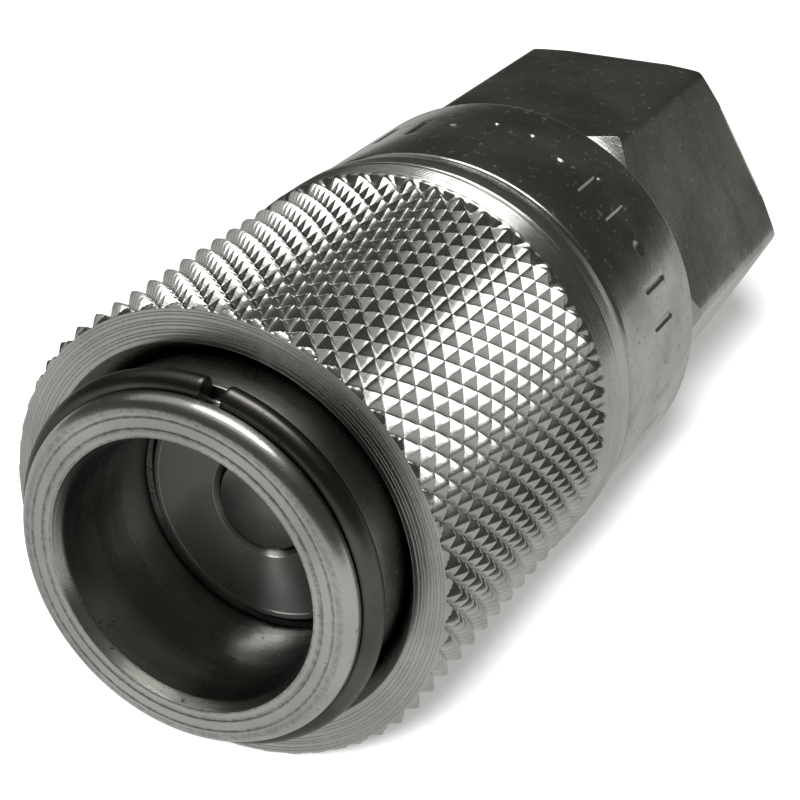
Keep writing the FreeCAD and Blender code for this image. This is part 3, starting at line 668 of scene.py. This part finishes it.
# distance from the axis to the sharp hex outline at each bearing
HEX_REACH = HEX_FLAT / np.cos((BEARINGS + pi / 6) % (pi / 3) - pi / 6)
DENT_Y = (COLLAR_Y + HEX_Y) / 2 + 0.4
DENT_REACH = 2.0
# the cone between neck and flats: its length in heights, and its hollow, where 1 is straight
CONE_LENGTH = 1.5
CONE_HOLLOW = 0.74


def dents(station):
    """Depth of the ring of plain stamped dents at one station: bars and dots in turn."""
    spacing = 10.5
    first, last = -38.0, 110.0
    bar_reach, bar_wide, dot_wide = 1.35, 0.32, 0.5
    wall, deepest = 0.24, 0.14
    depth = np.zeros(COLUMNS)
    for k in range(int((last - first) / spacing) + 1):
        reach, wide = (bar_reach, bar_wide) if k % 3 else (0.0, dot_wide)
        offset = (np.degrees(BEARINGS) - (first + k * spacing) + 180) % 360 - 180
        across = np.abs(np.radians(offset)) * COLLAR_R
        along = abs(station - DENT_Y)
        distance = np.hypot(across, max(along - reach, 0.0))
        depth = np.maximum(depth, np.clip((wide - distance) / wall, 0, 1))
    return deepest * depth * depth * (3 - 2 * depth)


def collar_rows():
    """The plain collar with its rounded edges and the dents round its middle."""
    rounding = 0.35
    rows = eased([
        (COLLAR_Y, SLEEVE_R - 2.0),
        (COLLAR_Y, COLLAR_R, rounding),
        (DENT_Y - DENT_REACH, COLLAR_R),
    ])
    for station in np.arange(DENT_Y - 1.9, DENT_Y + 1.9, 0.11):
        rows.append(np.column_stack([np.full(COLUMNS, station), COLLAR_R - dents(station)]))
    rows += eased([
        (DENT_Y + DENT_REACH, COLLAR_R),
        (HEX_Y, COLLAR_R, rounding),
        (HEX_Y, HEX_FLAT),
    ])
    return rows[1:-1]


def cone_reach(rise, blank):
    """How far behind the neck the hollow cone has risen by the given height."""
    return CONE_LENGTH * blank * (rise / blank) ** CONE_HOLLOW


def hex_rows():
    """A turned neck, then a hollow cone that meets the flats exactly, with softened edges."""
    neck_r, neck_end = HEX_FLAT + 0.1, HEX_Y + 0.9
    blank = HEX_CORNER - neck_r
    face_r, end_slope = HEX_CORNER - 1.3, tan(radians(60))
    ease = 0.06
    soft = HEX_REACH - 0.10 * np.exp(-((HEX_CORNER - HEX_REACH) / 0.10))
    foot = np.minimum(soft, neck_r)
    rise = np.maximum(soft - neck_r, 0)
    cone = neck_end + cone_reach(rise, blank)
    bevel = REAR_Y - np.maximum(soft - face_r, 0) / end_slope
    end_foot = np.minimum(soft, face_r)
    rows = [
        np.column_stack([np.full(COLUMNS, HEX_Y), foot]),
        np.column_stack([np.full(COLUMNS, neck_end), foot]),
    ]
    for share in (0.15, 0.3, 0.5, 0.75):
        station = neck_end + np.maximum(cone_reach(rise * share, blank), ease * share)
        rows.append(np.column_stack([station, foot + (soft - foot) * share]))
    rows.append(np.column_stack([np.maximum(cone, neck_end + ease), soft]))
    for share in (0.02, 0.5, 0.98):
        station = cone + 2 * ease + (bevel - cone - 3 * ease) * share
        rows.append(np.column_stack([station, soft]))
    rows += [
        np.column_stack([np.minimum(bevel, REAR_Y - ease), soft]),
        np.column_stack([REAR_Y - ease * 0.3 + 0 * foot, end_foot - ease * 0.3]),
        np.column_stack([np.full(COLUMNS, REAR_Y), end_foot - ease]),
    ]
    return rows


def thread_rows():
    """Right-hand Whitworth thread, 19 to the inch, cut into the port wall."""
    pitch = 25.4 / 19
    depth = 0.6403 * pitch
    mouth = REAR_Y - PORT_CHAMFER
    blunt = 0.12
    runout_start, runout_length = 1.2, 1.4
    rows = []
    for station in np.arange(mouth - 0.02, PORT_FLOOR + 0.3, -pitch / 12):
        phase = (station / pitch + BEARINGS / TURN) % 1.0
        wave = 0.5 - 0.5 * np.cos(TURN * phase)
        wave = np.clip((wave - blunt) / (1 - 2 * blunt), 0, 1)
        fade = np.clip((station - PORT_FLOOR - runout_start) / runout_length, 0, 1)
        rows.append(np.column_stack([np.full(COLUMNS, station), PORT_R + depth * wave * fade]))
    return rows


def build_adapter():
    """Spigot, collar, neck and hex outside; port, throat and joint thread inside."""
    tail_seat = NOSE_R - 0.65
    groove_deep, groove_front, groove_back = 1.5, joint_low.y - 0.1, joint_low.y + 2.5
    holder_end = washer_low.y
    spigot = eased([
        (JOINT_THREAD_START, NOSE_R + 0.05),
        (SPIGOT_Y, NOSE_R + 0.05, 0.1),
        (SPIGOT_Y, CHAMBER_R - 0.1, 0.25),
        (COLLAR_Y, CHAMBER_R - 0.1),
    ])
    port = eased([
        (REAR_Y, PORT_R + 2),
        (REAR_Y, PORT_R + 1.1, 0.05),
        (REAR_Y - PORT_CHAMFER, PORT_R + 0.2),
    ])[1:]
    inner = eased([
        (PORT_FLOOR, PORT_R),
        (PORT_FLOOR, THROAT_R, 0.2),
        (holder_end, THROAT_R),
        (holder_end, tail_seat),
        (groove_back, tail_seat),
        (groove_back, tail_seat + groove_deep),
        (groove_front, tail_seat + groove_deep),
        (groove_front, tail_seat),
        (JOINT_THREAD_END, tail_seat),
        (JOINT_THREAD_END, NOSE_R - 0.2),
        (JOINT_THREAD_START, NOSE_R - 0.2),
    ])
    rows = spigot + collar_rows() + hex_rows() + port + thread_rows() + inner
    piece = revolve("adapter_hex", rows, COLUMNS, COLLAR, sharp=24)
    place(piece, "coupler_body", "collar_steel", "rear_adapter")


build_adapter()


# ---------------------------------------------------------------------------
# Valve sleeve and stem: the flat faces at the bottom of the bore
# ---------------------------------------------------------------------------
def build_valve_sleeve():
    """The ring-shaped face, with a chamfered lip round the stem, and its flanged tail."""
    outer = BORE_R - 0.05
    lip = HEAD_R + 0.1
    face_r = outer - 0.42
    pocket = outer - 1.1
    web = FACE_Y + 6.3
    face = scored((FACE_Y, lip + 0.42), (FACE_Y, face_r - 0.06), [(0.93, 0.05, 0.015)])
    rest = eased([
        (FACE_Y + 0.02, face_r),
        (FACE_Y + 0.14, face_r + 0.12, 0.05),
        (FACE_Y + 2.6, outer, 0.3),
        (VALVE_BACK - 2.35, outer),
        (VALVE_BACK - 2.35, FLANGE_R, 0.1),
        (VALVE_BACK - 0.2, FLANGE_R, 0.05),
        (VALVE_BACK, FLANGE_R - 0.2),
        (VALVE_BACK, pocket, 0.1),
        (web, pocket, 0.3),
        (web, lip, 0.05),
        (FACE_Y + 0.34, lip + 0.04, 0.05),
        (FACE_Y, lip + 0.36, 0.05),
        face[0],
    ])[:-1]
    piece = revolve("valve_sleeve_face", face + rest, 256, TURNED)
    return place(piece, "valve", "turned_steel", "valve_sleeve")


def build_stem():
    """The flat head with its seal groove, the thin shank and the thread behind it."""
    seal_mid = (stem_seal_low.y + stem_seal_high.y) / 2
    stem_r, shank_r, stop_r = 1.6, 1.46, 2.9
    thread = ridges(TAIL_Y + 4.8, STEM_END - 0.5, shank_r, -0.22, 0.5)
    outline = eased([
        (FACE_Y, 0.0),
        (FACE_Y, HEAD_R - 0.06, 0.05),
        (FACE_Y + 1, HEAD_R - 0.05),
        (FACE_Y + 1.1, HEAD_R),
        (seal_mid - 0.7, HEAD_R),
        (seal_mid - 0.7, HEAD_R - 1, 0.1),
        (seal_mid + 0.7, HEAD_R - 1, 0.1),
        (seal_mid + 0.7, HEAD_R),
        (seal_mid + 1.9, HEAD_R, 0.2),
        (seal_mid + 3.33, stem_r, 0.4),
        (TAIL_Y - 0.9, stem_r, 0.2),
        (TAIL_Y - 0.9, stop_r, 0.1),
        (TAIL_Y, stop_r),
        (TAIL_Y, shank_r),
    ]) + thread + [(STEM_END - 0.4, shank_r), (STEM_END, shank_r - 0.4), (STEM_END, 0.0)]
    piece = revolve("valve_stem_turned", outline, 128, STEM)
    return place(piece, "coupler_body", "turned_steel", "valve_stem")


valve_face = build_valve_sleeve()
stem = build_stem()


# ---------------------------------------------------------------------------
# Bent wire: snap ring and the two springs
# ---------------------------------------------------------------------------
def sweep(name, path, wire, finish, sides, edge=0.0):
    """A round wire along a path of points, thinner by edge at its two ends."""
    path = [Vector(p) for p in path]
    points, faces = [], []
    count = len(path)
    for i, here in enumerate(path):
        heading = (path[min(i + 1, count - 1)] - path[max(i - 1, 0)]).normalized()
        across = Vector((here.x, 0, here.z)).normalized()
        up = heading.cross(across).normalized()
        across = up.cross(heading)
        thick = wire - edge if i in (0, count - 1) else wire
        for side in range(sides):
            turn = TURN * side / sides
            points.append(here + across * (thick * cos(turn)) + up * (thick * sin(turn)))
    for i in range(count - 1):
        for side in range(sides):
            a, b = i * sides + side, i * sides + (side + 1) % sides
            faces.append((a, b, b + sides, a + sides))
    faces.append(tuple(range(sides)))
    faces.append(tuple(range((count - 1) * sides, count * sides)))
    return solid(name, points, faces, finish, 40)


def build_snap_ring():
    """The open ring in the nose groove, with its gap near the top."""
    middle, opening = radians(9), radians(7)
    start, end = middle + opening / 2, middle - opening / 2 + TURN
    shares = [0.0, 0.0015] + list(np.linspace(0.004, 0.996, 220)) + [0.9985, 1.0]
    path = [
        (CLIP_R * sin(start + (end - start) * s), CLIP_Y, CLIP_R * cos(start + (end - start) * s))
        for s in shares
    ]
    piece = sweep("snap_ring_wire", path, CLIP_WIRE, CLIP, 24, 0.08)
    place(piece, "coupler_body", "spring_steel", "snap_ring")


def coil(name, node, wire, turns, finish):
    """A compression spring between its node's ends, ground flat.

    wire is its half thickness, and dead the turns at each end that lie closed.
    """
    low, high = span(node)
    mean = high.x - wire
    dead, room, steps = 0.75, 1.04, 36
    total = turns + 2 * dead
    dead_rise = 2 * wire * room * dead
    live_rise = high.y - low.y - 2 * dead_rise
    path = []
    for step in range(int(total * steps) + 1):
        turned = step / steps
        if turned <= dead:
            rise = 2 * wire * room * turned
        elif turned >= total - dead:
            rise = high.y - low.y - 2 * wire * room * (total - turned)
        else:
            share = (turned - dead) / turns
            rise = dead_rise + live_rise * (share - 0.12 * sin(TURN * share) / TURN)
        path.append((mean * cos(TURN * turned), low.y + rise, mean * sin(TURN * turned)))
    piece = sweep(name, path, wire, finish, 16)
    for vertex in piece.data.vertices:
        vertex.co.y = min(max(vertex.co.y, low.y * MM), high.y * MM)
    return piece


build_snap_ring()
valve_coil = coil("valve_spring_coil", "valve_spring", 0.6, 8, WIRE)
place(valve_coil, "coupler_body", "spring_steel", "valve_spring")
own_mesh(valve_coil)
sleeve_coil = coil("sleeve_spring_coil", "sleeve_spring", 0.55, 4, WIRE)
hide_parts("sleeve_spring")
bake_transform(sleeve_coil)


# ---------------------------------------------------------------------------
# CAD nodes that are shown as they are
# ---------------------------------------------------------------------------
def dress(node, finish):
    """Give a CAD node its material and smooth shading."""
    piece = frame["nodes"][node]
    piece.data.materials.clear()
    piece.data.materials.append(finish)
    piece.data.shade_smooth()
    piece.data.set_sharp_from_angle(angle=radians(SHARP))


for number in range(1, BALL_COUNT + 1):
    dress("locking_ball_%d" % number, BALL)
for node in ("sleeve_thrust_ring", "stem_holder", "stem_washer", "stem_nut"):
    dress(node, PLAIN)
for node in ("plug_seal", "joint_seal", "stem_seal"):
    dress(node, SEAL)
for node in ("plug_seal_backup", "joint_seal_backup"):
    dress(node, BACKUP)


# ---------------------------------------------------------------------------
# Floor, light and camera
# ---------------------------------------------------------------------------
CAMERA_AZIMUTH, CAMERA_ELEVATION = 26.79, 26.38
# distances and offsets of the camera and the lamps are in sleeve radii
CAMERA_DISTANCE, CAMERA_LEFT, CAMERA_DOWN = 9.28, 0.166, 0.209
LENS, SENSOR = 90.04, 36.0
centre = (rest_bounds[0] + rest_bounds[1]) / 2
size = SLEEVE_R * MM


def build_floor():
    """A white sheet, seen from above only, that looks mid grey in the metal."""
    f = Finish("floor_paper")
    level = rest_bounds[0].z
    lift, mirrored = 0.30, 0.47
    mesh = bpy.data.meshes.new("floor")
    reach = 120 * size
    corners = [
        (-reach, -reach, level),
        (reach, -reach, level),
        (reach, reach, level),
        (-reach, reach, level),
    ]
    mesh.from_pydata(corners, [], [(0, 1, 2, 3)])
    mesh.materials.append(f.material)
    floor_sheet = bpy.data.objects.new("floor", mesh)
    bpy.context.scene.collection.objects.link(floor_sheet)

    grain = f.noise(f.coords, 300, 3)
    pale, paler = (0.88, 0.88, 0.88, 1), (0.92, 0.92, 0.92, 1)
    f.feed(f.shader.inputs["Base Color"], f.blend(grain, paler, pale))
    f.feed(f.shader.inputs["Roughness"], 0.9)
    f.feed(f.shader.inputs["Specular IOR Level"], 0.0)
    glow = f.add("ShaderNodeEmission", {"Color": (1, 1, 1, 1), "Strength": lift})
    paper = f.add("ShaderNodeAddShader", {0: f.shader.outputs[0], 1: glow.outputs[0]})
    grey = f.add("ShaderNodeEmission", {"Color": (1, 1, 0.97, 1), "Strength": mirrored})
    direct = f.add("ShaderNodeLightPath").outputs["Is Camera Ray"]
    front = f.add("ShaderNodeMixShader", {0: direct, 1: grey.outputs[0], 2: paper.outputs[0]})
    clear = f.add("ShaderNodeBsdfTransparent")
    behind = f.add("ShaderNodeNewGeometry").outputs["Backfacing"]
    both = f.add("ShaderNodeMixShader", {0: behind, 1: front.outputs[0], 2: clear.outputs[0]})
    output = [n for n in f.tree.nodes if n.type == "OUTPUT_MATERIAL"][0]
    f.tree.links.new(both.outputs[0], output.inputs["Surface"])
    return floor_sheet


def light_group(name, things, state):
    """A lamp given this group lights only the things (INCLUDE) or all but them (EXCLUDE)."""
    group = bpy.data.collections.new(name)
    for thing in things:
        group.objects.link(thing)
    for member in group.collection_objects:
        member.light_linking.link_state = state
    return group


def towards(azimuth, elevation):
    """Unit vector; azimuth 0 is +Y and grows towards +X."""
    a, e = radians(azimuth), radians(elevation)
    return Vector((sin(a) * cos(e), cos(a) * cos(e), sin(e)))


def softbox(name, azimuth, elevation, distance, wide, high, power, lights, aside=0.0):
    """A rectangular lamp turned towards the coupler, then shifted sideways by aside."""
    lamp = bpy.data.lights.new(name, "AREA")
    lamp.shape = "RECTANGLE"
    lamp.size, lamp.size_y, lamp.energy = wide * size, high * size, power * size * size
    holder = bpy.data.objects.new(name, lamp)
    sideways = Vector((cos(radians(azimuth)), -sin(radians(azimuth)), 0))
    spot = towards(azimuth, elevation) * distance + sideways * aside
    holder.location = centre + spot * size
    holder.rotation_euler = towards(azimuth, elevation).to_track_quat("Z", "Y").to_euler()
    holder.light_linking.receiver_collection = lights
    bpy.context.scene.collection.objects.link(holder)


def shadow_lamp(azimuth, elevation, softness, strength):
    """A far lamp that lights the floor alone, for one soft shadow to the right."""
    lamp = bpy.data.lights.new("shadow_lamp", "SUN")
    lamp.angle, lamp.energy = radians(softness), strength
    holder = bpy.data.objects.new("shadow_lamp", lamp)
    holder.rotation_euler = towards(azimuth, elevation).to_track_quat("Z", "Y").to_euler()
    holder.light_linking.receiver_collection = FLOOR_ONLY
    bpy.context.scene.collection.objects.link(holder)


def build_world():
    """A dim, slightly olive room with a bright ceiling."""
    world = bpy.data.worlds.new("studio")
    bpy.context.scene.world = world
    world.use_nodes = True
    tree = world.node_tree
    tree.nodes.clear()
    coords = tree.nodes.new("ShaderNodeTexCoord")
    split = tree.nodes.new("ShaderNodeSeparateXYZ")
    ramp = tree.nodes.new("ShaderNodeValToRGB")
    sky = tree.nodes.new("ShaderNodeBackground")
    output = tree.nodes.new("ShaderNodeOutputWorld")
    tree.links.new(coords.outputs["Generated"], split.inputs[0])
    tree.links.new(split.outputs["Z"], ramp.inputs[0])
    tree.links.new(ramp.outputs[0], sky.inputs[0])
    tree.links.new(sky.outputs[0], output.inputs[0])
    # (height, brightness): the height is 0 at the horizon and below it, 1 straight above
    stops = ((0.0, 0.16), (0.09, 0.10), (0.18, 0.055), (0.60, 0.055), (0.82, 0.12), (0.97, 0.4))
    while len(ramp.color_ramp.elements) < len(stops):
        ramp.color_ramp.elements.new(0.5)
    for element, (position, level) in zip(ramp.color_ramp.elements, stops):
        element.position = position
        element.color = (level, level * 1.01, level * 0.90, 1)
    sky.inputs[1].default_value = 1.0


def build_camera():
    """Looks down at the mouth from one side, with the coupler a little off centre."""
    lens = bpy.data.cameras.new("camera")
    lens.lens, lens.sensor_width = LENS, SENSOR
    lens.clip_start, lens.clip_end = 0.001, 50
    camera = bpy.data.objects.new("camera", lens)
    bpy.context.scene.collection.objects.link(camera)
    back = towards(180 - CAMERA_AZIMUTH, CAMERA_ELEVATION)
    camera.rotation_mode = "QUATERNION"
    camera.rotation_quaternion = back.to_track_quat("Z", "Y")
    right = Vector((cos(radians(CAMERA_AZIMUTH)), sin(radians(CAMERA_AZIMUTH)), 0))
    up = back.cross(right)
    aside = right * (CAMERA_LEFT * size) + up * (CAMERA_DOWN * size)
    camera.location = centre + back * (CAMERA_DISTANCE * size) - aside
    bpy.context.scene.camera = camera


floor = build_floor()
METAL_ONLY = light_group("metal_only", [floor], "EXCLUDE")
FLOOR_ONLY = light_group("floor_only", [floor], "INCLUDE")
VALVE_ONLY = light_group("valve_only", [valve_face, stem], "INCLUDE")
build_world()
softbox(
    "ceiling_lamp", azimuth=0, elevation=85, distance=26, wide=20, high=12, power=3200,
    lights=METAL_ONLY, aside=2,
)
softbox(
    "wall_lamp", azimuth=-85, elevation=52, distance=26, wide=20, high=12, power=240,
    lights=METAL_ONLY,
)
softbox(
    "valve_lamp", azimuth=-142, elevation=20, distance=12, wide=4, high=4, power=650,
    lights=VALVE_ONLY,
)
shadow_lamp(azimuth=164, elevation=37, softness=12, strength=5.0)
build_camera()
bpy.context.scene.view_settings.view_transform = "Standard"
bpy.context.scene.view_settings.exposure = 0.0
